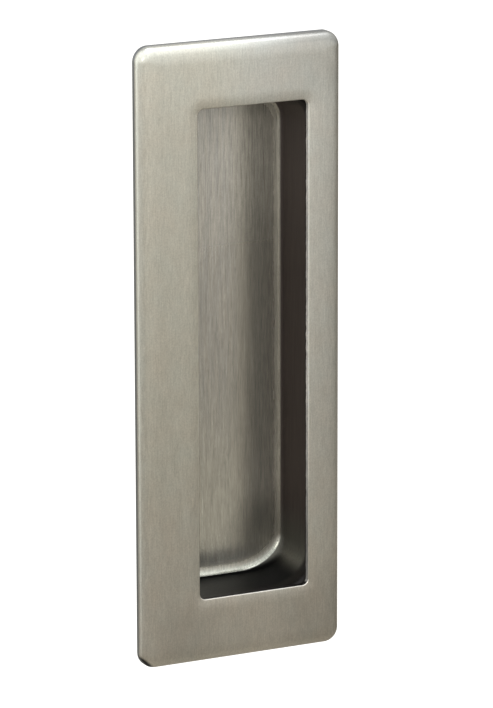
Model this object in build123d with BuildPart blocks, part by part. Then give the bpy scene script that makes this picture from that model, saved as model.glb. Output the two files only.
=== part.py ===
from build123d import *
from math import sqrt
import os

# Flush pull for a sliding door: a pressed cover plate with a turned-back rim over a deep-drawn cup.
# Frame: the door face is the plane Y = 0, the user stands on its -Y side, +X is to the user's right
# and +Z is up. The origin is the centre of the plate on the door face. Lengths are millimetres.

# Cover plate
plate_width = 42.0
plate_height = 120.0
plate_corner_radius = 3.0
cover_height = 3.0
cover_sheet = 1.5
cover_edge_radius = 2.0

# Opening in the cover, set off to the right so that the wide left margin is the lip the fingers pull on
opening_width = 23.0
opening_height = 95.0
opening_right_margin = 7.0
opening_corner_radius = 1.2
lip_roll_width = 2.5
lip_roll_depth = 0.15
lip_edge_radius = 0.25

# Drawn cup: it reaches further behind the wide margin than behind the other three
cup_sheet = 1.0
recess_depth = 14.8
cup_floor_width = 28.0
cup_floor_height = 95.6
cup_right_margin = 5.55
cup_draft = 5.0
cup_plan_radius = 6.5
cup_floor_radius = 2.0
cup_mouth_radius = 1.5

# Flange of the cup, with pips that the cover's rim grips and dimpled seats for two countersunk screws
flange_clearance = 0.25
pip_length = 6.0
side_pip_spacing = 68.0
screw_spacing = 108.0
screw_hole_radius = 1.65
screw_head_radius = 3.1
screw_head_angle = 90.0
dimple_depth = 1.25

# The door face, with its normal towards the user: an offset of this plane is a height above the door
door_face = Plane.XZ

# Worked-out places on the cover
opening_centre = plate_width / 2 - opening_right_margin - opening_width / 2
opening_left = opening_centre - opening_width / 2
opening_right = opening_centre + opening_width / 2
lip_roll_radius = (lip_roll_width**2 + lip_roll_depth**2) / (2 * lip_roll_depth)
rim_inside_width = plate_width - 2 * cover_sheet
rim_inside_height = plate_height - 2 * cover_sheet
rim_inside_radius = plate_corner_radius - cover_sheet

# Worked-out places on the cup: its inner floor lies behind the door face, so its height is negative
floor_height = cover_height - recess_depth
cup_centre = plate_width / 2 - cup_right_margin - cup_floor_width / 2
drawn_depth = cup_sheet - floor_height
flange_width = rim_inside_width - 2 * flange_clearance
flange_height = rim_inside_height - 2 * flange_clearance
dimple_outer_radius = screw_head_radius + (sqrt(2) - 1) * cup_sheet


# The cover plate is one pressed sheet: a shallow pan with a soft front edge and a rim turned back to the
# door. Round the opening the sheet rolls in a little and ends in a square-cut edge.
with BuildPart() as cover_plate:
    with BuildSketch(door_face):
        RectangleRounded(plate_width, plate_height, plate_corner_radius)
    extrude(amount=cover_height)
    front_face = cover_plate.faces().sort_by(Axis.Y)[0]
    fillet(front_face.edges(), cover_edge_radius)

    # The hollow behind the face, with the inside of the same bend
    with BuildSketch(door_face):
        RectangleRounded(rim_inside_width, rim_inside_height, rim_inside_radius)
    extrude(amount=cover_height - cover_sheet, mode=Mode.SUBTRACT)
    underside = cover_plate.faces().filter_by(Axis.Y).sort_by(Axis.Y)[1]
    fillet(underside.edges(), cover_edge_radius - cover_sheet)

    # The flat sheet stops where the rolled lip begins
    with BuildSketch(door_face):
        with Locations((opening_centre, 0)):
            RectangleRounded(
                opening_width + 2 * lip_roll_width,
                opening_height + 2 * lip_roll_width,
                opening_corner_radius + lip_roll_width,
            )
    extrude(amount=cover_height, mode=Mode.SUBTRACT)

    # The lip is a section of the sheet that curves in towards the opening, swept round its outline
    with BuildLine(door_face.offset(cover_height)) as lip_outline:
        FilletPolyline(
            (opening_right, 0),
            (opening_right, opening_height / 2),
            (opening_left, opening_height / 2),
            (opening_left, 0),
            radius=opening_corner_radius,
        )
        mirror(about=Plane.XY)
    with BuildSketch(Plane.XY) as lip_section:
        with BuildLine():
            front_start = (opening_right + lip_roll_width, -cover_height)
            front_end = (opening_right, lip_roll_depth - cover_height)
            back_end = (opening_right, lip_roll_depth - cover_height + cover_sheet)
            back_start = (opening_right + lip_roll_width, cover_sheet - cover_height)
            RadiusArc(front_start, front_end, lip_roll_radius)
            Line(front_end, back_end)
            RadiusArc(back_end, back_start, -lip_roll_radius)
            Line(back_start, front_start)
        make_face()
        front_corner = lip_section.vertices().sort_by(Axis.Y)[:2].sort_by(Axis.X)[0]
        fillet(front_corner, lip_edge_radius)
    sweep(path=lip_outline.wires()[0])
cover_plate.part.label = "cover_plate"


# The drawing punch has the shape of the space inside the cup: drafted walls, soft plan corners and a
# large radius round its nose.
with BuildPart() as punch:
    with BuildSketch(door_face.offset(floor_height)):
        with Locations((cup_centre, 0)):
            RectangleRounded(cup_floor_width, cup_floor_height, cup_plan_radius)
    extrude(amount=drawn_depth, taper=-cup_draft)
    punch_nose = punch.faces().sort_by(Axis.Y)[-1]
    fillet(punch_nose.edges(), cup_floor_radius)


# The recess cup is one deep-drawn sheet: the cup itself and a flange that lies on the door behind the
# cover. The same sheet thickness shows inside and outside every bend.
with BuildPart() as recess_cup:
    with BuildSketch(door_face.offset(floor_height - cup_sheet)):
        with Locations((cup_centre, 0)):
            RectangleRounded(
                cup_floor_width + 2 * cup_sheet,
                cup_floor_height + 2 * cup_sheet,
                cup_plan_radius + cup_sheet,
            )
    extrude(amount=drawn_depth, taper=-cup_draft)
    outer_floor = recess_cup.faces().sort_by(Axis.Y)[-1]
    fillet(outer_floor.edges(), cup_floor_radius + cup_sheet)

    with BuildSketch(door_face):
        RectangleRounded(flange_width, flange_height, rim_inside_radius - flange_clearance)
    extrude(amount=cup_sheet)
    add(punch.part, mode=Mode.SUBTRACT)

    # The bend from the walls into the flange, on its front and its back
    flange_front = recess_cup.faces().filter_by(Axis.Y).sort_by(Axis.Y)[0]
    fillet(flange_front.inner_wires().edges(), cup_mouth_radius)
    flange_back = recess_cup.faces().filter_by(Axis.Y).sort_by(Axis.Y)[1]
    fillet(flange_back.inner_wires().edges(), cup_mouth_radius - cup_sheet)

    # Pips on the flange's edge, which the rim of the cover is pressed over
    with BuildSketch(door_face):
        with GridLocations(flange_width, side_pip_spacing, 2, 2):
            Rectangle(2 * flange_clearance, pip_length)
        with GridLocations(0, flange_height, 1, 2):
            Rectangle(pip_length, 2 * flange_clearance)
    extrude(amount=cup_sheet)

    # Screw seats: the sheet is dimpled back into the door so that the heads lie below the cover
    with BuildSketch(door_face):
        with GridLocations(0, screw_spacing, 1, 2):
            Circle(dimple_outer_radius)
    extrude(amount=-dimple_depth, taper=screw_head_angle / 2)
    with Locations(door_face.offset(cup_sheet)):
        with GridLocations(0, screw_spacing, 1, 2):
            CounterSinkHole(
                screw_hole_radius,
                screw_head_radius,
                depth=cup_sheet + dimple_depth,
                counter_sink_angle=screw_head_angle,
            )
recess_cup.part.label = "recess_cup"


os.makedirs("parts", exist_ok=True)
export_step(cover_plate.part, "parts/cover_plate.step")
export_step(recess_cup.part, "parts/recess_cup.step")
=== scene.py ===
import bpy
import bmesh
from math import cos, pi, radians, sin, sqrt, tan
from mathutils import Matrix, Vector, noise


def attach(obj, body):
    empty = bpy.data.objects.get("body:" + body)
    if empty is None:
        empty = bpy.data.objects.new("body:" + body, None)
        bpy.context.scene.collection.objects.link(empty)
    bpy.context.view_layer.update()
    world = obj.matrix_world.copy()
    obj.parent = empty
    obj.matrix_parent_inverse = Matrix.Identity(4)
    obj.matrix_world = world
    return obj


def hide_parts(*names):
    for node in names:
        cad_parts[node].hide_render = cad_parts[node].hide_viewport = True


# A flush pull for a sliding door: a pressed cover plate over a deep-drawn finger cup.
# The door face is Y = 0, the user stands on its -Y side and +Z is up. Lengths are metres.
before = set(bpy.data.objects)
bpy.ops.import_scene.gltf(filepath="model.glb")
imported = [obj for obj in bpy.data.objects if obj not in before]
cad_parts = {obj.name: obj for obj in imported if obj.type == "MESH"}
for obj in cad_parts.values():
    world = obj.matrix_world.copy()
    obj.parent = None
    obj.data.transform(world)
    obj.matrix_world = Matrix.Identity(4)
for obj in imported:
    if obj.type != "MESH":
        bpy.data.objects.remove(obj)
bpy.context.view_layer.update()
scene = bpy.context.scene
mm = 0.001

# Camera, where the photograph was taken from
camera_place = (-0.38379, -0.79215, 0.22297)
camera_turn = 25.986
camera_drop = 14.266
camera_roll = -0.153
camera_lens = 244.07
sensor_width = 36.0

# Light from all round, by direction
sky_below = (0.45, 0.45, 0.45, 1)
sky_above = (0.86, 0.89, 0.95, 1)

# Paper on the floor, below the part, which would hang on a door
floor_level = -0.30
floor_reach = 6.0
floor_colour = (0.345, 0.32, 0.27, 1)
strip_start = 0.35
strip_full = 0.60
strip_half_width = 0.25
strip_fade = 0.55

# Lamps: name, place, size, radiance, colour. They all face the part.
lamps = (
    ("softbox_top", (0.1, -0.1, 1.0), (0.8, 0.8), 2.4, (0.93, 0.97, 1.06)),
    ("softbox_corner", (-0.52, -0.68, 0.31), (0.17, 0.20), 4.6, (1, 1, 1)),
    ("panel_left", (-0.77, 0.36, -0.08), (0.38, 0.6), 0.75, (0.90, 1.0, 1.06)),
)

# Screen of cloth round the user's side: its level by degrees from -Y to +X, and by height
screen_radius = 0.45
screen_left = -150.0
screen_right = 120.0
screen_low = -0.26
screen_high = 0.90
screen_steps = 60
screen_strength = 1.43
screen_round = (
    (-150, 0.45), (-120, 0.80), (-90, 0.85), (-60, 0.74), (-26, 0.66), (-5, 0.84),
    (8, 0.93), (22, 0.90), (30, 0.75), (45, 0.60), (70, 0.55), (120, 0.45),
)
screen_up = (
    (-0.26, 0.0), (-0.21, 0.0), (-0.12, 0.19), (-0.02, 0.605),
    (0.06, 0.80), (0.20, 0.86), (0.40, 1.0), (0.90, 1.0),
)
# Past this angle the screen's levels climb
screen_tilt_start = radians(23.0)
screen_tilt = 0.15
# It is warm at its foot in front of the part, and cool elsewhere
screen_warm = (1.0, 0.94, 0.86)
screen_cool = (0.96, 1.0, 1.04)
cool_height = (-0.17, 0.06)
cool_left = (radians(-5.0), radians(-60.0))
cool_right = (radians(45.0), radians(80.0))

# Cover plate
plate_width = 42.0 * mm
plate_height = 120.0 * mm
plate_corner = 3.0 * mm
least_corner = 0.3 * mm
cover_height = 3.0 * mm
cover_sheet = 1.5 * mm
cover_inside_bend = 0.5 * mm
shoulder_rise = 1.77 * mm
shoulder_run = 1.9 * mm
shoulder_turn = radians(83.0)
crown_run = 2.2 * mm
crown_drop = 0.12 * mm

# Loops of the mesh that keep the rim's end and the start of the shoulder crisp
rim_loop = 0.06 * mm
shoulder_loop = 0.05 * mm

# Opening, with a lip that rolls in and a sheared edge
opening_width = 23.0 * mm
opening_height = 95.0 * mm
opening_right_margin = 7.0 * mm
opening_centre = plate_width / 2 - opening_right_margin - opening_width / 2
opening_corner = 1.2 * mm
lip_roll = 2.5 * mm
lip_drop = 0.15 * mm
lip_edge = 0.22 * mm
lip_edge_turn = 84.0
burr = 0.12 * mm
burr_spacing = 1.3 * mm
# The back of the sheared edge: how far it opens out, and how high it is above the back of the sheet
shear_back = ((0.05 * mm, 0.10 * mm), (0.15 * mm, 0.0))

# Recess cup. Its bend is smallest at the sides and largest in the lower corners.
cup_sheet = 1.0 * mm
recess_depth = 14.7999 * mm
cup_floor_width = 28.0 * mm
cup_floor_height = 95.6 * mm
cup_corner_across = 9.6 * mm
cup_corner_up = 6.4 * mm
corner_ease = 0.25
cup_draft = radians(5.0)
cup_right_margin = 5.55 * mm
cup_centre = plate_width / 2 - cup_right_margin - cup_floor_width / 2
side_bend = 1.3 * mm
end_bend = 1.5 * mm
corner_bend = 2.2 * mm
low_corner_bend = 2.9 * mm
ease_run = 2.2 * mm
ease_turn = radians(13.0)
cup_mouth_bend = 1.5 * mm

# How far a corner's larger bend runs out along the sides, and how much of it is left where it leaves the
# corner. Within the corner it swells by corner_swell, most at a place that corner_skew sets.
long_reach = 0.15
short_reach = 0.35
long_share = 0.08
short_share = 0.12
corner_swell = 0.80
corner_skew = 1.2

# Flange of the cup, its pips and its screw seats
pip_length = 6.0 * mm
pip_rise = 0.25 * mm
side_pip_place = 34.0 * mm
flange_width = plate_width - 2 * cover_sheet - 2 * pip_rise
flange_height = plate_height - 2 * cover_sheet - 2 * pip_rise
flange_corner = plate_corner - cover_sheet - pip_rise
screw_place = 54.0 * mm
screw_hole = 1.65 * mm
screw_head = 3.1 * mm
dimple_outer = screw_head + (sqrt(2) - 1) * cup_sheet
dimple_depth = 1.25 * mm
# How far a joined solid reaches into the flange, and how far a cutter reaches out of it
join_overlap = 0.5 * mm
cut_spare = 0.2 * mm

# Fineness of the meshes
corner_steps = 20
corner_fineness = 40
long_steps = 140
short_steps = 24
shoulder_steps = 16
crown_steps = 8
roll_steps = 12
lip_edge_steps = 6
inside_bend_steps = 4
face_bands = 6
underside_bands = 3
ease_steps = 8
bend_steps = 14
wall_steps = 8
mouth_steps = 10
flange_bands = 3
seat_steps = 48
sharp_angle = radians(35)

# Brushing and other marks: width, length, detail, seed
cover_fine = (0.22 * mm, 2.6 * mm, 3.0, 3.0)
cover_broad = (1.1 * mm, 6.0 * mm, 3.0, 11.0)
cover_cloud = (6.0 * mm, 7.0 * mm, 3.0, 5.0)
cover_grain = (0.25 * mm, 0.3 * mm, 1.0, 9.0)
edge_notches = (0.35 * mm, 0.8 * mm, 3.0, 13.0)
edge_bands = (4.0 * mm, 9.0 * mm, 2.0, 23.0)
cup_fine = (0.22 * mm, 2.6 * mm, 3.0, 7.0)
cup_long = (0.26 * mm, 11.0 * mm, 3.0, 4.0)
cup_grain = (0.25 * mm, 0.35 * mm, 1.0, 9.0)
cup_scores = (0.20 * mm, 7.0 * mm, 1.0, 17.0)
cup_broad = (0.8 * mm, 14.0 * mm, 2.0, 2.0)
streak_skew = (0.4, 0.5, 0.3)
streak_roughness = 0.6
# The part of a noise value's range that a spread of levels is taken from
noise_middle = (0.3, 0.7)

# Bands: each pair is where a soft step begins and where it is full. Places are in metres, directions are
# parts of a unit normal.
opening_band = (1.2 * mm, 0.8 * mm)
rim_band = (-1.1 * mm, -0.7 * mm)
steep_direction = (0.45, 0.2)
torn_shade_band = (-1.85 * mm, -1.75 * mm)
upward_direction = (0.4, 0.8)
edge_foot_band = (-12.0 * mm, -36.0 * mm)
narrow_margin_band = (-8.0 * mm, 6.0 * mm)
cover_foot_band = (-15.0 * mm, -50.0 * mm)
top_margin_band = (44.0 * mm, 53.0 * mm)
top_right_band = (-4.0 * mm, 20.0 * mm)
rounded_direction = (0.0, 0.26)
top_edge_shade_band = (-8.0 * mm, 22.0 * mm)
arris_highlight_direction = (0.15, 0.35)
rim_corner_shade_band = (6.0 * mm, 4.0 * mm)
rim_corner_shade_direction = (0.10, 0.30)

mouth_band = (3.0 * mm, 1.5 * mm)
inner_band = (1.0 * mm, -1.0 * mm)
seat_band = (50.9 * mm, 50.4 * mm)
side_direction = (0.50, 0.78)
corner_direction = (0.08, 0.35)
wall_direction = (0.71, 0.60)
end_direction = (0.5, 0.9)
deep_band = (6.0 * mm, 10.4 * mm)
shaded_band = (-3.0 * mm, 9.0 * mm)
low_wall_band = (-33.0 * mm, -43.0 * mm)
scored_band = (8.0 * mm, 30.0 * mm)
score_levels = (0.60, 0.68)
low_floor_band = (-8.0 * mm, -40.0 * mm)
high_floor_band = (8.0 * mm, 34.0 * mm)
lip_shadow_band = (41.0 * mm, 44.5 * mm)
corner_floor_shade_band = (11.5 * mm, 4.0 * mm)
yellow_floor_band = (0.0, -35.0 * mm)
right_floor_band = (3.0 * mm, 9.0 * mm)
low_bend_direction = (0.15, 0.40)
tilted_direction = (0.08, 0.30)
side_only_direction = (0.40, 0.10)
bend_start_direction = (0.999, 0.985)
bend_end_direction = (0.86, 0.93)
haze_band = (12.0 * mm, 42.0 * mm)

# Colours of the cover
face_grey = (0.546, 0.539, 0.478)
face_yellow = (0.562, 0.532, 0.462)
wide_margin_cast = (1.01, 1.0, 0.97)
narrow_margin_cast = (0.995, 1.0, 1.02)
foot_reflection_cast = (1.015, 0.985, 0.97)
# Painted shade: the rim next to the door, and its rounded lower left corner
rim_shade_colour = (0.25, 0.255, 0.25)
rim_corner_shade_colour = (0.03, 0.03, 0.03)
shear_dull = (0.60, 0.58, 0.55)
shear_bright = (0.98, 0.93, 0.84)
# Painted shade on the back of the sheared edge and where it faces up
torn_shade_colour = (0.035, 0.03, 0.03)

# Colours of the cup
floor_grey = (0.410, 0.396, 0.358)
floor_brown = (0.419, 0.393, 0.340)
floor_yellow = (0.414, 0.395, 0.332)
floor_right_reflection = (0.388, 0.360, 0.298)
low_bend_highlight_tint = (0.392, 0.388, 0.325)
side_brown = (0.105, 0.084, 0.074)
# A painted sheen low on the sides, and painted shade at the ends, deep down and in the mouth
side_low_sheen = (0.148, 0.141, 0.115)
end_wall_shade_colour = (0.014, 0.012, 0.011)
end_shaded = (0.005, 0.005, 0.006)
deep_end_shade_colour = (0.004, 0.004, 0.004)
mouth_shade_colour = (0.02, 0.018, 0.016)
cup_outside = (0.36, 0.345, 0.31)

# How bright the streaks and marks of the cover are, as spreads round 1, gains and losses
cover_fine_levels = (0.91, 1.09)
cover_broad_levels = (0.98, 1.02)
cover_grain_levels = (0.92, 1.08)
edge_band_levels = (0.72, 1.12)
edge_foot_loss = 0.45
# Painted light and shade on the top margin, and painted shade on the rounded top edge
top_margin_painted_light = 0.06
top_right_painted_shade = 0.17
top_edge_shade_loss = 0.38
# A painted highlight on the opening's edge, and how much less of it there is low down
arris_highlight_gain = 0.85
arris_highlight_foot_loss = 0.75

# The same for the cup
cup_fine_levels = (0.84, 1.16)
cup_broad_levels = (0.96, 1.04)
cup_long_levels = (0.87, 1.13)
cup_grain_levels = (0.94, 1.06)
side_streak_levels = (0.86, 1.14)
score_loss = 0.30
# Painted light and shade on the floor: brighter ends, and darker under the cover's edge, in the lower right
# corner and on the side bends
floor_level_middle = 1.13
low_floor_painted_light = 0.28
high_floor_painted_light = 0.17
lip_shadow_loss = 0.14
corner_floor_shade_loss = 0.38
side_bend_shade_loss = 0.22

# Finish of the cover
cover_anisotropy = 0.3
cover_bump = 0.004 * mm
cover_roughness = (0.32, 0.36)
cover_fine_roughness = (-0.03, 0.03)
sheared_roughness = 0.28
sheared_metal_loss = 0.35

# Finish of the cup
cup_anisotropy = 0.55
cup_bump = 0.003 * mm
cup_roughness = (0.19, 0.25)
wall_roughness = 0.28
bend_roughness = 0.16
cup_metal = 0.76
haze_metal_loss = 0.26
cup_specular = 0.5
unlit_specular_loss = 0.45
shaded_end_share = 0.8
end_share = 0.4
# In the corners the dark wall colour is painted over the bend as shade, from directions that are this much
# less steep
corner_wall_start = 0.22
# Taken as how far the floor lies behind the cup's middle, to tell the inner side from the outer
floor_behind = 5.0 * mm

# Where painted shade darkens the face: place across, place up, reach, strength
painted_shade_patches = ((18.0 * mm, -54.0 * mm, 15.0 * mm, 0.15), (-12.0 * mm, -54.5 * mm, 9.0 * mm, 0.11))
painted_shade_core = 0.2
# Middles of the painted shade on the rim's lower left corner and on the cup floor's lower right corner
rim_corner_shade_place = (-20.8 * mm, -59.3 * mm)
corner_floor_shade_place = (cup_centre + 11.5 * mm, -41.0 * mm)


def round_quarter():
    """A quarter circle, one unit wide and high, as places and turns."""
    made = []
    for step in range(corner_steps + 1):
        turn = pi / 2 * step / corner_steps
        made.append((cos(turn), sin(turn), turn))
    return made


def soft_quarter():
    """A quarter turn that eases in and out of its straight sides, one unit wide and high."""
    places = [(0.0, 0.0)]
    for step in range(corner_steps * corner_fineness):
        turn = eased_turn((step + 0.5) / (corner_steps * corner_fineness))
        x, z = places[-1]
        places.append((x - sin(turn), z + cos(turn)))
    size = places[-1][1]
    made = []
    for step in range(corner_steps + 1):
        x, z = places[step * corner_fineness]
        made.append((1 + x / size, z / size, eased_turn(step / corner_steps)))
    return made


def eased_turn(share):
    """How far a soft corner has turned, at a share of its length."""
    return pi / 2 * (share - corner_ease * sin(2 * pi * share) / (2 * pi))


def rectangle(width, height, reach_x, reach_z, quarter, centre=0.0):
    """A rectangle with shaped corners, as points and outward normals, anticlockwise as the user sees it.

    It starts at the lower right corner. Long and short sides have steps of their own.
    """
    half_w = width / 2 - reach_x
    half_h = height / 2 - reach_z
    corners = ((half_w, -half_h, -90), (half_w, half_h, 0), (-half_w, half_h, 90), (-half_w, -half_h, 180))
    made = []
    for place, (x, z, start) in enumerate(corners):
        a = radians(start)
        for u, v, turn in quarter:
            across = (u * cos(a) - v * sin(a)) * reach_x
            up = (u * sin(a) + v * cos(a)) * reach_z
            normal = Vector((cos(a + turn) / reach_x, sin(a + turn) / reach_z)).normalized()
            made.append((centre + x + across, z + up, normal.x, normal.y))
        steps = long_steps if place % 2 == 0 else short_steps
        next_x, next_z, next_start = corners[(place + 1) % 4]
        nx = cos(radians(next_start))
        nz = sin(radians(next_start))
        end_x = centre + next_x + reach_x * nx
        end_z = next_z + reach_z * nz
        begin_x, begin_z = made[-1][:2]
        for step in range(1, steps):
            share = step / steps
            made.append((begin_x + (end_x - begin_x) * share, begin_z + (end_z - begin_z) * share, nx, nz))
    return made


def outline(width, height, radius, centre=0.0):
    """A rectangle with round corners."""
    return rectangle(width, height, radius, radius, round_quarter(), centre)


def plate_outline(inset):
    radius = max(plate_corner - inset, least_corner)
    return outline(plate_width - 2 * inset, plate_height - 2 * inset, radius)


def opening_outline(growth):
    width = opening_width + 2 * growth
    height = opening_height + 2 * growth
    return outline(width, height, opening_corner + growth, opening_centre)


def burred(points):
    """Moves an outline of the opening in and out a little, as shearing leaves it."""
    made = []
    for x, z, nx, nz in points:
        shift = burr * noise.noise(Vector((x, z, 0.0)) / burr_spacing)
        made.append((x + shift * nx, z + shift * nz, nx, nz))
    return made


def ring(points, height):
    """Lifts an outline to a height above the door face."""
    return [Vector((x, -height, z)) for x, z, _, _ in points]


def blend_rings(a, b, count):
    """The rings between two rings, evenly spaced, without the two ends."""
    return [[p.lerp(q, step / (count + 1)) for p, q in zip(a, b)] for step in range(1, count + 1)]


def skin(bm, rings, closed):
    """Joins rings of equal length with quads and returns them as mesh vertices."""
    made = [[bm.verts.new(p) for p in points] for points in rings]
    pairs = list(zip(made, made[1:]))
    if closed:
        pairs.append((made[-1], made[0]))
    for a, b in pairs:
        join_rings(bm, a, b)
    return made


def join_rings(bm, a, b):
    """Joins two rings of mesh vertices with quads."""
    for i in range(len(a)):
        j = (i + 1) % len(a)
        bm.faces.new((a[i], a[j], b[j], b[i]))


def patch(bm, verts):
    """Fills a closed ring with a grid of quads. The grid's corners are the middles of the ring's corners."""
    sides = []
    start = corner_steps // 2
    for length in (corner_steps + long_steps, corner_steps + short_steps) * 2:
        sides.append([verts[(start + i) % len(verts)] for i in range(length + 1)])
        start += length
    right, top, left, bottom = sides[0], sides[1][::-1], sides[2][::-1], sides[3]
    height = len(right) - 1
    width = len(top) - 1
    rows = [bottom]
    for j in range(1, height):
        v = j / height
        row = [left[j]]
        for i in range(1, width):
            u = i / width
            between_sides = left[j].co * (1 - u) + right[j].co * u
            between_ends = bottom[i].co * (1 - v) + top[i].co * v
            low = left[0].co * (1 - u) + right[0].co * u
            high = left[-1].co * (1 - u) + right[-1].co * u
            row.append(bm.verts.new(between_sides + between_ends - low * (1 - v) - high * v))
        row.append(right[j])
        rows.append(row)
    rows.append(top)
    for low, high in zip(rows, rows[1:]):
        for i in range(width):
            bm.faces.new((low[i], low[i + 1], high[i + 1], high[i]))


def finish_mesh(bm, name, material, replaced):
    """Makes a piece from a mesh, with a flat map for the brushing on each of its sides."""
    bmesh.ops.recalc_face_normals(bm, faces=bm.faces)
    uv = bm.loops.layers.uv.new("brushing")
    for face in bm.faces:
        n = face.normal
        if abs(n.x) > max(abs(n.y), abs(n.z)):
            across, up = 1, 2
        elif abs(n.z) > abs(n.y):
            across, up = 0, 1
        else:
            across, up = 0, 2
        for loop in face.loops:
            co = loop.vert.co
            loop[uv].uv = (co[across] / plate_height, co[up] / plate_height)
        face.smooth = True
    for edge in bm.edges:
        if len(edge.link_faces) == 2 and edge.calc_face_angle() > sharp_angle:
            edge.smooth = False
    mesh = bpy.data.meshes.new(name)
    bm.to_mesh(mesh)
    bm.free()
    mesh.materials.append(material)
    made = bpy.data.objects.new(name, mesh)
    scene.collection.objects.link(made)
    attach(made, "root")
    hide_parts(replaced)


def cover_outside():
    """Rings from the rim's end on the door, over the rounded edge and the crown, to the flat face."""
    level = cover_height - crown_drop
    foot = level - shoulder_rise * sin(shoulder_turn)
    rings = [ring(plate_outline(0.0), height) for height in (0.0, rim_loop, foot - shoulder_loop)]
    for step in range(shoulder_steps + 1):
        turn = shoulder_turn * step / shoulder_steps
        inset = shoulder_run * (1 - cos(turn))
        rings.append(ring(plate_outline(inset), foot + shoulder_rise * sin(turn)))
    for step in range(1, crown_steps + 1):
        share = step / crown_steps
        rise = crown_drop * (1 - (1 - share) ** 2)
        rings.append(ring(plate_outline(inset + crown_run * share), level + rise))
    return rings


def lip_fall(growth):
    """How far the lip has rolled in, at a distance outside the opening."""
    return lip_drop * (1 - growth / lip_roll) ** 2


def cover_lip():
    """Rings over the lip that rolls in towards the opening, and round its front edge."""
    rings = []
    for step in range(roll_steps + 1):
        growth = lip_roll + (lip_edge - lip_roll) * step / roll_steps
        rings.append(ring(opening_outline(growth), cover_height - lip_fall(growth)))
    for step in range(1, lip_edge_steps + 1):
        turn = radians(lip_edge_turn * step / lip_edge_steps)
        level = cover_height - lip_fall(lip_edge) - lip_edge * (1 - cos(turn))
        rings.append(ring(opening_outline(lip_edge * (1 - sin(turn))), level))
    return rings


def cover_inside():
    """Rings from the back of the sheared edge, along the inside of the sheet, to the door."""
    underside = cover_height - cover_sheet
    rings = []
    for growth, height in shear_back:
        rings.append(ring(burred(opening_outline(growth)), underside - lip_drop + height))
    rings.append(ring(opening_outline(lip_roll), underside))
    bend = []
    for step in range(inside_bend_steps + 1):
        turn = pi / 2 * step / inside_bend_steps
        inset = cover_sheet + cover_inside_bend * (1 - sin(turn))
        bend.append(ring(plate_outline(inset), underside - cover_inside_bend * (1 - cos(turn))))
    rings += blend_rings(rings[-1], bend[0], underside_bands)
    return rings + bend + [ring(plate_outline(cover_sheet), 0.0)]


def make_cover(material):
    outside = cover_outside()
    lip = cover_lip()
    face = blend_rings(outside[-1], lip[0], face_bands)
    bm = bmesh.new()
    skin(bm, outside + face + lip + cover_inside(), closed=True)
    finish_mesh(bm, "pressed_cover", material, "cover_plate")


def bend_radius(index, height):
    """The radius between floor and wall at a point of the cup's outline."""
    corner = low_corner_bend if height < 0 else corner_bend
    side = corner_steps + long_steps
    half = side + corner_steps + short_steps
    # Half the outline is a corner, a long side, a corner and a short side
    place = index % half
    if place <= corner_steps:
        return corner_radius(place / corner_steps, corner)
    if place < side:
        share = (place - corner_steps) / long_steps
        return straight_radius(share, long_reach, side_bend, corner, long_share)
    if place <= side + corner_steps:
        return corner_radius(1 - (place - side) / corner_steps, corner)
    share = (place - side - corner_steps) / short_steps
    return straight_radius(share, short_reach, end_bend, corner, short_share)


def corner_radius(share, corner):
    """The radius within a corner, from the short side at 0 to the long side at 1."""
    base = end_bend + (side_bend - end_bend) * share
    ends = short_share + (long_share - short_share) * share
    return base + (corner - base) * (ends + corner_swell * sin(pi * share ** corner_skew))


def straight_radius(share, reach, base, corner, left_over):
    """The radius along a straight side, which the corners' larger radius runs out into."""
    near = min(share / reach, (1 - share) / reach, 1.0)
    return base + (corner - base) * left_over * (1 - near) ** 2


def bend_section(radius, turn):
    """The bend from floor to wall: a gentle start, then an arc. Gives places and turns."""
    place = Vector((0.0, 0.0))
    made = [(place, 0.0)]
    for step in range(ease_steps):
        middle = ease_turn * ((step + 0.5) / ease_steps) ** 2
        place = place + Vector((cos(middle), -sin(middle))) * (ease_run / ease_steps)
        made.append((place, ease_turn * ((step + 1) / ease_steps) ** 2))
    centre = place - Vector((sin(ease_turn), cos(ease_turn))) * radius
    for step in range(1, bend_steps + 1):
        a = ease_turn + (turn - ease_turn) * step / bend_steps
        made.append((centre + Vector((sin(a), cos(a))) * radius, a))
    return made


def cup_sections(base):
    """The drawn section at each point of the outline, as places and turns, from the floor to the flange."""
    drawn = recess_depth - cover_height + cup_sheet
    turn = pi / 2 - cup_draft
    mouth_centre = Vector((drawn * tan(cup_draft) + cup_mouth_bend * tan(turn / 2), cup_mouth_bend))
    mouth = []
    for step in range(mouth_steps + 1):
        a = turn * (1 - step / mouth_steps)
        mouth.append((mouth_centre - Vector((sin(a), cos(a))) * cup_mouth_bend, a))
    sections = []
    for index, point in enumerate(base):
        bend = bend_section(bend_radius(index, point[1]), turn)
        wall_foot = bend[-1][0]
        shift = Vector((-wall_foot.y * tan(cup_draft) - wall_foot.x, drawn))
        section = [(place + shift, a) for place, a in bend]
        begin = section[-1][0]
        for step in range(1, wall_steps):
            section.append((begin.lerp(mouth[0][0], step / wall_steps), turn))
        sections.append(section + mouth)
    return sections


def cup_rings(base, sections, gap):
    """The rings of the drawn sheet, gap outside its inner face."""
    rings = []
    for level in range(len(sections[0])):
        points = []
        for (x, z, nx, nz), section in zip(base, sections):
            place, a = section[level]
            growth = place.x + gap * sin(a)
            depth = place.y + gap * cos(a)
            points.append(Vector((x + growth * nx, depth - cup_sheet, z + growth * nz)))
        rings.append(points)
    return rings


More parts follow.
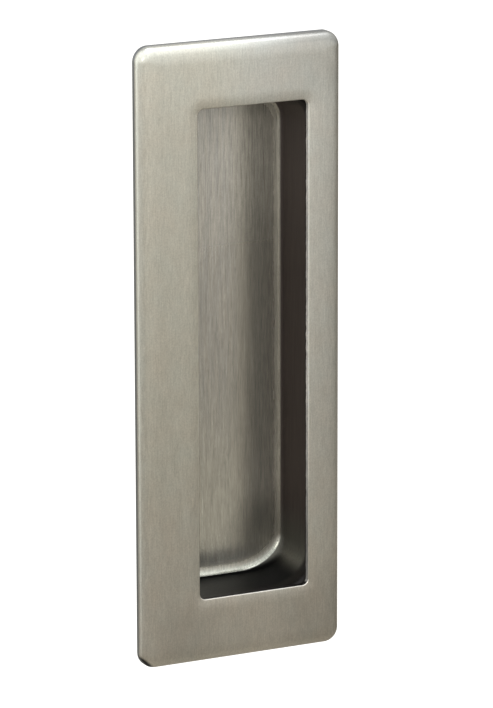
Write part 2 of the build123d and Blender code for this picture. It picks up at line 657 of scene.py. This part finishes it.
def make_cup(material):
    corner = (cup_corner_across, cup_corner_up)
    base = rectangle(cup_floor_width, cup_floor_height, *corner, soft_quarter(), cup_centre)
    sections = cup_sections(base)
    inner = cup_rings(base, sections, 0.0)
    outer = cup_rings(base, sections, cup_sheet)
    flange = outline(flange_width, flange_height, flange_corner)
    edge_front = ring(flange, cup_sheet)
    edge_back = ring(flange, 0.0)
    rings = inner + blend_rings(inner[-1], edge_front, flange_bands) + [edge_front, edge_back]
    rings += blend_rings(edge_back, outer[-1], flange_bands) + outer[::-1]
    bm = bmesh.new()
    made = skin(bm, rings, closed=False)
    patch(bm, made[0])
    patch(bm, made[-1])
    bmesh.ops.recalc_face_normals(bm, faces=bm.faces)
    bm = cut(bm, added_parts(), "UNION")
    bm = cut(bm, screw_holes(), "DIFFERENCE")
    finish_mesh(bm, "drawn_cup", material, "recess_cup")


def turned(bm, profile, height):
    """A solid turned about a screw's axis, from (radius, depth) pairs."""
    made = []
    for radius, depth in profile:
        circle = []
        for step in range(seat_steps):
            turn = 2 * pi * step / seat_steps
            circle.append(bm.verts.new((radius * cos(turn), depth, height + radius * sin(turn))))
        made.append(circle)
    for a, b in zip(made, made[1:]):
        join_rings(bm, a, b)
    bm.faces.new(made[0])
    bm.faces.new(made[-1])


def added_parts():
    """The dimples behind the flange and the pips on its edge."""
    bm = bmesh.new()
    dimple = (
        (dimple_outer, -join_overlap),
        (dimple_outer, 0.0),
        (dimple_outer - dimple_depth, dimple_depth),
    )
    pips = []
    for side in (-1, 1):
        turned(bm, dimple, side * screw_place)
        for z in (-side_pip_place, side_pip_place):
            pips.append((side * flange_width / 2, z, 2 * pip_rise, pip_length))
        pips.append((0.0, side * flange_height / 2, pip_length, 2 * pip_rise))
    for x, z, width, height in pips:
        size = Matrix.Diagonal((width, cup_sheet, height, 1))
        bmesh.ops.create_cube(bm, size=1.0, matrix=Matrix.Translation((x, -cup_sheet / 2, z)) @ size)
    bmesh.ops.recalc_face_normals(bm, faces=bm.faces)
    return bm


def screw_holes():
    """What the countersinks and holes take out of the flange."""
    bm = bmesh.new()
    hole = (
        (screw_head + cut_spare, -cup_sheet - cut_spare),
        (screw_hole, screw_head - screw_hole - cup_sheet),
        (screw_hole, dimple_depth + cut_spare),
    )
    for side in (-1, 1):
        turned(bm, hole, side * screw_place)
    bmesh.ops.recalc_face_normals(bm, faces=bm.faces)
    return bm


def cut(bm, tool, operation):
    """Joins a mesh with another or cuts the other out of it."""
    pair = []
    for part in (bm, tool):
        mesh = bpy.data.meshes.new("cut")
        part.to_mesh(mesh)
        part.free()
        made = bpy.data.objects.new("cut", mesh)
        scene.collection.objects.link(made)
        pair.append(made)
    step = pair[0].modifiers.new("cut", "BOOLEAN")
    step.operation = operation
    step.solver = "EXACT"
    step.object = pair[1]
    bpy.context.view_layer.update()
    evaluated = pair[0].evaluated_get(bpy.context.evaluated_depsgraph_get())
    result = bpy.data.meshes.new_from_object(evaluated)
    made = bmesh.new()
    made.from_mesh(result)
    for spent in pair:
        mesh = spent.data
        bpy.data.objects.remove(spent)
        bpy.data.meshes.remove(mesh)
    bpy.data.meshes.remove(result)
    return made


class Shading:
    """Makes and joins the nodes of a tree. A source is a number, a colour or another node's output."""

    def __init__(self, tree):
        self.tree = tree

    def node(self, kind, **values):
        """A node with its sockets and properties set by name."""
        made = self.tree.nodes.new(kind)
        for name, value in values.items():
            if name in made.inputs:
                made.inputs[name].default_value = value
            else:
                setattr(made, name, value)
        return made

    def join(self, source, socket):
        """Sets a socket to a number or a colour, or links it to a node's output."""
        if isinstance(source, float):
            socket.default_value = source
        elif isinstance(source, tuple):
            socket.default_value = (*source, 1)
        else:
            self.tree.links.new(source, socket)

    def math(self, operation, a, b=0.0):
        made = self.node("ShaderNodeMath", operation=operation)
        self.join(a, made.inputs[0])
        self.join(b, made.inputs[1])
        return made.outputs[0]

    def chain(self, operation, first, others):
        """Applies an operation to the first source and to each of the others in turn."""
        for other in others:
            first = self.math(operation, first, other)
        return first

    def product(self, first, *others):
        return self.chain("MULTIPLY", first, others)

    def total(self, first, *others):
        return self.chain("ADD", first, others)

    def highest(self, first, *others):
        return self.chain("MAXIMUM", first, others)

    def absolute(self, source):
        return self.math("ABSOLUTE", source)

    def less(self, start, mask, amount=1.0):
        """A start value, less by an amount where the mask is 1."""
        return self.math("SUBTRACT", start, self.product(mask, amount))

    def ramped(self, source, band, levels, smooth):
        """Maps the band to the levels, and holds the end levels beyond it."""
        kind = "SMOOTHSTEP" if smooth else "LINEAR"
        made = self.node("ShaderNodeMapRange", interpolation_type=kind)
        for name, value in zip(("From Min", "From Max", "To Min", "To Max"), (*band, *levels)):
            made.inputs[name].default_value = value
        self.join(source, made.inputs["Value"])
        return made.outputs["Result"]

    def step(self, band, source):
        """A soft step from 0 where the band begins to 1 where it ends."""
        return self.ramped(source, band, (0.0, 1.0), True)

    def spread(self, source, low, high):
        """Maps the middle of a noise value to the range low to high."""
        return self.ramped(source, noise_middle, (low, high), False)

    def levels(self, source, low, high, stops):
        """A grey level that follows the source, from stops of (value, level)."""
        ramp = self.node("ShaderNodeValToRGB")
        elements = ramp.color_ramp.elements
        while len(elements) < len(stops):
            elements.new(1.0)
        for element, (value, level) in zip(elements, stops):
            element.position = (value - low) / (high - low)
            element.color = (level, level, level, 1)
        self.join(self.ramped(source, (low, high), (0.0, 1.0), False), ramp.inputs[0])
        return ramp.outputs["Color"]

    def blend(self, mask, a, b):
        """The colour a where the mask is 0, and b where it is 1."""
        made = self.node("ShaderNodeMix", data_type="RGBA")
        colours = [socket for socket in made.inputs if socket.type == "RGBA"]
        factor = [socket for socket in made.inputs if socket.type == "VALUE"][0]
        self.join(mask, factor)
        self.join(a, colours[0])
        self.join(b, colours[1])
        return [socket for socket in made.outputs if socket.type == "RGBA"][0]

    def scaled(self, colour, level):
        made = self.node("ShaderNodeVectorMath", operation="SCALE")
        self.join(colour, made.inputs[0])
        self.join(level, made.inputs["Scale"])
        return made.outputs[0]

    def filtered(self, colour, cast):
        """A colour times another colour."""
        made = self.node("ShaderNodeVectorMath", operation="MULTIPLY")
        self.join(colour, made.inputs[0])
        self.join(cast, made.inputs[1])
        return made.outputs[0]

    def parts(self, source):
        """The X, Y and Z of a place or direction."""
        made = self.node("ShaderNodeSeparateXYZ")
        self.join(source, made.inputs[0])
        return made.outputs

    def coordinates(self, kind):
        return self.node("ShaderNodeTexCoord").outputs[kind]


class StageMaterial(Shading):
    """A material of the stage: two shaders added together."""

    def __init__(self, name):
        self.material = bpy.data.materials.new(name)
        self.material.use_nodes = True
        super().__init__(self.material.node_tree)
        self.tree.nodes.clear()
        self.place = self.parts(self.coordinates("Object"))

    def finish(self, a, b):
        both = self.node("ShaderNodeAddShader")
        self.join(a.outputs[0], both.inputs[0])
        self.join(b.outputs[0], both.inputs[1])
        out = self.node("ShaderNodeOutputMaterial")
        self.join(both.outputs[0], out.inputs["Surface"])
        return self.material


class Steel(Shading):
    """A brushed steel, with its surface's place and normal at hand."""

    def __init__(self, name, anisotropy):
        self.material = bpy.data.materials.new(name)
        self.material.use_nodes = True
        super().__init__(self.material.node_tree)
        self.shader = self.tree.nodes["Principled BSDF"]
        self.shader.inputs["Anisotropic"].default_value = anisotropy
        tangent = self.node("ShaderNodeTangent", direction_type="UV_MAP", uv_map="brushing")
        self.join(tangent.outputs[0], self.shader.inputs["Tangent"])
        self.normal = self.parts(self.node("ShaderNodeNewGeometry").outputs["Normal"])
        self.coords = self.coordinates("Object")
        self.place = self.parts(self.coords)

    def streaks(self, width, length, detail, seed):
        """Fine lines that run up the part, as a value about 0.5."""
        stretch = self.node("ShaderNodeMapping")
        stretch.inputs["Scale"].default_value = (1 / width, 1 / width, 1 / length)
        stretch.inputs["Location"].default_value = (seed, seed * 2.0, seed * 3.0)
        self.join(self.coords, stretch.inputs["Vector"])
        skew = self.node("ShaderNodeMapping", Rotation=streak_skew)
        self.join(stretch.outputs[0], skew.inputs["Vector"])
        made = self.node("ShaderNodeTexNoise", Scale=1.0, Detail=detail, Roughness=streak_roughness)
        self.join(skew.outputs[0], made.inputs["Vector"])
        return made.outputs["Fac"]

    def distance(self, x, z):
        """How far the surface is from the line at x, z that runs into the door."""
        from_x = self.math("SUBTRACT", self.place["X"], x)
        from_z = self.math("SUBTRACT", self.place["Z"], z)
        return self.math("SQRT", self.total(self.product(from_x, from_x), self.product(from_z, from_z)))

    def finish(self, height, depth, **sockets):
        """Joins the shader's sockets, and a bump of the given depth."""
        bump = self.node("ShaderNodeBump", Strength=1.0, Distance=depth)
        self.join(height, bump.inputs["Height"])
        self.join(bump.outputs[0], self.shader.inputs["Normal"])
        for name, source in sockets.items():
            self.join(source, self.shader.inputs[name.replace("_", " ")])
        return self.material


def near_opening(s):
    """A mask of the opening's edges and what lies close round them."""
    half_w = opening_width / 2
    half_h = opening_height / 2
    across = s.absolute(s.math("SUBTRACT", s.place["X"], opening_centre))
    near_x = s.step((half_w + opening_band[0], half_w + opening_band[1]), across)
    near_z = s.step((half_h + opening_band[0], half_h + opening_band[1]), s.absolute(s.place["Z"]))
    return s.product(near_x, near_z)


def face_colour(s):
    """The face is yellower on the wide margin and cooler on the others, and a warm reflection is painted in
    at the foot.
    """
    face = s.blend(s.spread(s.streaks(*cover_cloud), 0.0, 1.0), face_grey, face_yellow)
    cast = s.blend(s.step(narrow_margin_band, s.place["X"]), wide_margin_cast, narrow_margin_cast)
    cast = s.blend(s.step(cover_foot_band, s.place["Z"]), cast, foot_reflection_cast)
    return s.filtered(face, cast)


def face_marks(s, fine, broad, outside):
    """How bright the face is, as a value about 1."""
    grain = s.streaks(*cover_grain)
    marks = s.product(s.spread(fine, *cover_fine_levels), s.spread(broad, *cover_broad_levels))
    marks = s.product(marks, s.spread(grain, *cover_grain_levels))

    # Painted light makes the top margin brighter, and painted shade makes its right end darker
    top_margin_light = s.less(top_margin_painted_light, s.step(top_right_band, s.place["X"]), top_right_painted_shade)
    top_margin_light = s.product(top_margin_light, s.step(top_margin_band, s.place["Z"]))
    marks = s.product(marks, s.total(top_margin_light, 1.0))

    # The rounded top edge is painted darker towards its right end, so that its highlight fades there
    rounded = s.product(s.step(rounded_direction, s.normal["Z"]), outside)
    top_edge_shade = s.product(rounded, s.step(top_edge_shade_band, s.place["X"]))
    return s.product(marks, s.less(1.0, top_edge_shade, top_edge_shade_loss))


def shade_low_corners(s, face):
    """Darkens the face near its lower corners with painted shade."""
    for x, z, reach, strength in painted_shade_patches:
        near = s.step((reach, painted_shade_core * reach), s.distance(x, z))
        face = s.scaled(face, s.less(1.0, near, strength))
    return face


def painted_rim_corner_shade(s):
    """A mask of the rounded lower left corner of the rim, which is painted black as shade."""
    near = s.step(rim_corner_shade_band, s.distance(*rim_corner_shade_place))
    return s.product(near, s.step(rim_corner_shade_direction, s.product(s.normal["X"], s.normal["Z"])))


def sheared_colour(s, torn_and_shade, at_foot):
    """The cut edge of the opening: matt and bright near the face; torn at the back, and painted dark as
    shade there and where it faces up.
    """
    notches = s.spread(s.streaks(*edge_notches), 0.0, 1.0)
    shear = s.blend(notches, shear_dull, shear_bright)
    shear = s.scaled(shear, s.spread(s.streaks(*edge_bands), *edge_band_levels))
    shear = s.scaled(shear, s.less(1.0, at_foot, edge_foot_loss))
    return s.blend(torn_and_shade, shear, torn_shade_colour)


def cover_material():
    s = Steel("brushed_cover", cover_anisotropy)
    fine = s.streaks(*cover_fine)
    broad = s.streaks(*cover_broad)
    inside = near_opening(s)
    outside = s.less(1.0, inside)
    at_foot = s.step(edge_foot_band, s.place["Z"])
    face = s.scaled(face_colour(s), face_marks(s, fine, broad, outside))

    # A painted highlight where the sheet turns into the opening's edge, less of it low down
    arris_highlight = s.product(s.step(arris_highlight_direction, s.absolute(s.normal["X"])), inside)
    arris_highlight = s.product(arris_highlight, s.less(1.0, at_foot, arris_highlight_foot_loss))
    face = shade_low_corners(s, s.scaled(face, s.total(s.product(arris_highlight, arris_highlight_gain), 1.0)))

    # Painted shade: the rim is darker next to the door
    rim = s.product(outside, s.step(rim_band, s.place["Y"]))
    colour = s.blend(rim, face, rim_shade_colour)
    # Painted shade: the rounded lower left corner of the rim is nearly black
    colour = s.blend(painted_rim_corner_shade(s), colour, rim_corner_shade_colour)

    # The sheared edge is torn at its back, and painted dark as shade there and where it faces up
    sheared = s.product(s.step(steep_direction, s.absolute(s.normal["Y"])), inside)
    torn_and_shade = s.highest(s.step(torn_shade_band, s.place["Y"]), s.step(upward_direction, s.normal["Z"]))
    colour = s.blend(sheared, colour, sheared_colour(s, torn_and_shade, at_foot))
    bare = s.product(sheared, s.less(1.0, torn_and_shade))
    rough = s.total(s.spread(broad, *cover_roughness), s.spread(fine, *cover_fine_roughness))
    rough = s.total(rough, s.product(sheared, sheared_roughness))
    return s.finish(
        s.total(fine, broad), cover_bump,
        Base_Color=colour, Metallic=s.less(1.0, bare, sheared_metal_loss), Roughness=rough,
    )


def cup_inner(s):
    """A mask of the cup's inner side, which faces its middle, without the screw seats beyond its ends."""
    from_middle = s.product(s.normal["X"], s.math("SUBTRACT", s.place["X"], cup_centre))
    along = s.product(s.normal["Z"], s.place["Z"])
    outward = s.total(from_middle, along, s.product(s.normal["Y"], floor_behind))
    return s.product(s.step(inner_band, outward), s.step(seat_band, s.absolute(s.place["Z"])))


def cup_wall_colour(s, long, end_wall, black, shaded, mouth):
    """The walls are drawn and never polished, and brown along the sides. Painted shade makes them nearly
    black at the ends, deep down and in the mouth; a painted sheen lightens the sides low down.
    """
    side = s.blend(s.step(low_wall_band, s.place["Z"]), side_brown, side_low_sheen)
    side = s.scaled(side, s.spread(long, *side_streak_levels))
    dull = s.blend(end_wall, side, s.blend(shaded, end_wall_shade_colour, end_shaded))
    dull = s.blend(black, dull, deep_end_shade_colour)
    dull = s.blend(mouth, dull, mouth_shade_colour)
    return s.blend(cup_inner(s), cup_outside, dull)


def cup_floor_colour(s, broad):
    """The floor is yellower at its foot. A darker, browner reflection of the wall is painted at its right
    side, and a yellow tint of the highlight on the lower bend.
    """
    floor = s.blend(s.spread(broad, 0.0, 1.0), floor_grey, floor_brown)
    floor = s.blend(s.step(yellow_floor_band, s.place["Z"]), floor, floor_yellow)
    floor = s.blend(s.step(right_floor_band, s.place["X"]), floor, floor_right_reflection)
    return s.blend(s.step(low_bend_direction, s.normal["Z"]), floor, low_bend_highlight_tint)


def cup_floor_marks(s, fine, long, broad):
    """How bright the floor is, as a value about 1."""
    grain = s.streaks(*cup_grain)
    marks = s.product(s.spread(fine, *cup_fine_levels), s.spread(broad, *cup_broad_levels))
    marks = s.product(marks, s.spread(long, *cup_long_levels), s.spread(grain, *cup_grain_levels))

    # Painted light makes the ends of the floor brighter than its middle
    low_end = s.product(s.step(low_floor_band, s.place["Z"]), low_floor_painted_light)
    high_end = s.product(s.step(high_floor_band, s.place["Z"]), high_floor_painted_light)
    marks = s.product(marks, s.total(low_end, high_end, floor_level_middle))

    # A few deeper scores on the upper part of the floor
    scores = s.product(s.step(score_levels, s.streaks(*cup_scores)), s.step(scored_band, s.place["Z"]))

    # A painted shadow of the cover's edge darkens the top of the floor
    lip_shadow = s.step(lip_shadow_band, s.place["Z"])

    # Painted shade darkens the floor round the lower right corner
    corner_floor_shade = s.step(corner_floor_shade_band, s.distance(*corner_floor_shade_place))

    # The bend along the long sides is painted darker than the rest of the floor, which dims its highlight
    sideways = s.step(tilted_direction, s.absolute(s.normal["X"]))
    drawn = s.product(sideways, s.step(side_only_direction, s.absolute(s.normal["Z"])))
    losses = ((scores, score_loss), (lip_shadow, lip_shadow_loss), (corner_floor_shade, corner_floor_shade_loss), (drawn, side_bend_shade_loss))
    return s.product(marks, *[s.less(1.0, mask, loss) for mask, loss in losses])


def cup_material():
    s = Steel("drawn_cup_steel", cup_anisotropy)
    tilt_x = s.absolute(s.normal["X"])
    tilt_z = s.absolute(s.normal["Z"])
    facing = s.absolute(s.normal["Y"])
    fine = s.streaks(*cup_fine)
    long = s.streaks(*cup_long)
    broad = s.streaks(*cup_broad)

    # The walls, whose dark colour begins sooner in the corners, as painted shade over the outer part of the
    # bend
    in_corner = s.step(corner_direction, s.product(tilt_x, tilt_z))
    steep = s.step(wall_direction, s.less(facing, in_corner, corner_wall_start))
    mouth = s.step(mouth_band, s.place["Y"])
    wall = s.highest(steep, s.step(side_direction, tilt_x), mouth)
    end_wall = s.step(end_direction, tilt_z)
    black = s.product(s.step(deep_band, s.place["Y"]), end_wall)
    shaded = s.step(shaded_band, s.place["X"])
    floor = s.scaled(cup_floor_colour(s, broad), cup_floor_marks(s, fine, long, broad))
    colour = s.blend(wall, floor, cup_wall_colour(s, long, end_wall, black, shaded, mouth))

    # The end walls reflect least
    unlit = s.highest(
        black,
        s.product(shaded, end_wall, shaded_end_share),
        s.product(end_wall, end_share),
    )

    # Rougher where the bend begins, and smooth again on its tightest part
    begin = s.product(s.step(bend_start_direction, facing), s.step(bend_end_direction, facing))
    rough = s.total(s.spread(fine, *cup_roughness), s.product(wall, wall_roughness))
    rough = s.total(rough, s.product(begin, bend_roughness))
    haze = s.step(haze_band, s.place["Z"])
    return s.finish(
        fine, cup_bump,
        Base_Color=colour, Metallic=s.less(cup_metal, haze, haze_metal_loss),
        Roughness=rough, Specular_IOR_Level=s.less(cup_specular, unlit, unlit_specular_loss),
    )


def make_camera():
    data = bpy.data.cameras.new("camera")
    data.lens = camera_lens
    data.sensor_width = sensor_width
    made = bpy.data.objects.new("camera", data)
    made.matrix_world = (
        Matrix.Translation(camera_place)
        @ Matrix.Rotation(-radians(camera_turn), 4, "Z")
        @ Matrix.Rotation(radians(90.0 - camera_drop), 4, "X")
        @ Matrix.Rotation(radians(camera_roll), 4, "Z")
    )
    scene.collection.objects.link(made)
    scene.camera = made


def make_world():
    world = bpy.data.worlds.new("studio")
    world.use_nodes = True
    s = Shading(world.node_tree)
    s.tree.nodes.clear()
    ramp = s.node("ShaderNodeValToRGB")
    below, above = ramp.color_ramp.elements
    below.color = sky_below
    above.color = sky_above
    s.join(s.parts(s.coordinates("Generated"))["Z"], ramp.inputs[0])
    light = s.node("ShaderNodeBackground", Strength=1.0)
    s.join(ramp.outputs[0], light.inputs["Color"])
    out = s.node("ShaderNodeOutputWorld")
    s.join(light.outputs[0], out.inputs["Surface"])
    scene.world = world


def make_lamp(name, place, size, radiance, colour):
    """Makes a rectangular lamp. Its power follows from its radiance and its size."""
    data = bpy.data.lights.new(name, "AREA")
    data.shape = "RECTANGLE"
    data.size, data.size_y = size
    data.energy = radiance * size[0] * size[1] * pi
    data.color = colour
    made = bpy.data.objects.new(name, data)
    made.location = place
    made.rotation_euler = (-Vector(place)).to_track_quat("-Z", "Y").to_euler()
    made.visible_camera = False
    scene.collection.objects.link(made)


def stage_piece(name, points, faces, material):
    """Makes a piece of the surroundings, which isn't part of the object."""
    mesh = bpy.data.meshes.new(name)
    mesh.from_pydata(points, [], faces)
    mesh.materials.append(material)
    made = bpy.data.objects.new(name, mesh)
    scene.collection.objects.link(made)
    return made


def paper_material():
    """Paper that is whitest along the strip that lies behind the part."""
    s = StageMaterial("floor_paper")
    path = s.node("ShaderNodeLightPath").outputs
    seen = s.highest(path["Is Camera Ray"], path["Is Glossy Ray"], path["Is Transmission Ray"])
    beside = s.step((strip_fade, strip_half_width), s.absolute(s.place["X"]))
    along = s.step((strip_start, strip_full), s.place["Y"])
    glow = s.node("ShaderNodeEmission", Color=(1, 1, 1, 1))
    s.join(s.product(seen, beside, along), glow.inputs["Strength"])
    return s.finish(s.node("ShaderNodeBsdfDiffuse", Color=floor_colour), glow)


def make_floor():
    r = floor_reach
    points = [(-r, -r, 0), (r, -r, 0), (r, r, 0), (-r, r, 0)]
    made = stage_piece("floor", points, [(0, 1, 2, 3)], paper_material())
    made.location.z = floor_level
    made.rotation_euler.z = -radians(camera_turn)


def cloth_material():
    """Lit cloth that lets through what is behind it."""
    s = StageMaterial("screen_cloth")
    azimuth = s.math("ARCTAN2", s.place["X"], s.product(s.place["Y"], -1.0))
    stops = [(radians(angle), level) for angle, level in screen_round]
    round_level = s.levels(azimuth, radians(screen_left), radians(screen_right), stops)
    past = s.highest(s.math("SUBTRACT", azimuth, screen_tilt_start), 0.0)
    height = s.less(s.place["Z"], past, screen_tilt)
    up_level = s.levels(height, screen_low, screen_high, screen_up)
    beside = s.highest(s.step(cool_left, azimuth), s.step(cool_right, azimuth))
    cool = s.highest(s.step(cool_height, s.place["Z"]), beside)
    glow = s.node("ShaderNodeEmission")
    s.join(s.product(round_level, up_level, screen_strength), glow.inputs["Strength"])
    s.join(s.blend(cool, screen_warm, screen_cool), glow.inputs["Color"])
    return s.finish(s.node("ShaderNodeBsdfTransparent"), glow)


def make_screen():
    """A lit cloth hung in an arc round the user's side, clear at its foot and brighter towards its top."""
    points = []
    faces = []
    for step in range(screen_steps + 1):
        turn = radians(screen_left + (screen_right - screen_left) * step / screen_steps)
        for z in (screen_low, screen_high):
            points.append((screen_radius * sin(turn), -screen_radius * cos(turn), z))
    for step in range(screen_steps):
        i = 2 * step
        faces.append((i, i + 2, i + 3, i + 1))
    made = stage_piece("screen", points, faces, cloth_material())
    made.visible_camera = False
    made.visible_shadow = False


make_camera()
make_world()
make_floor()
for lamp in lamps:
    make_lamp(*lamp)
make_screen()
make_cover(cover_material())
make_cup(cup_material())
scene.view_settings.view_transform = "Standard"
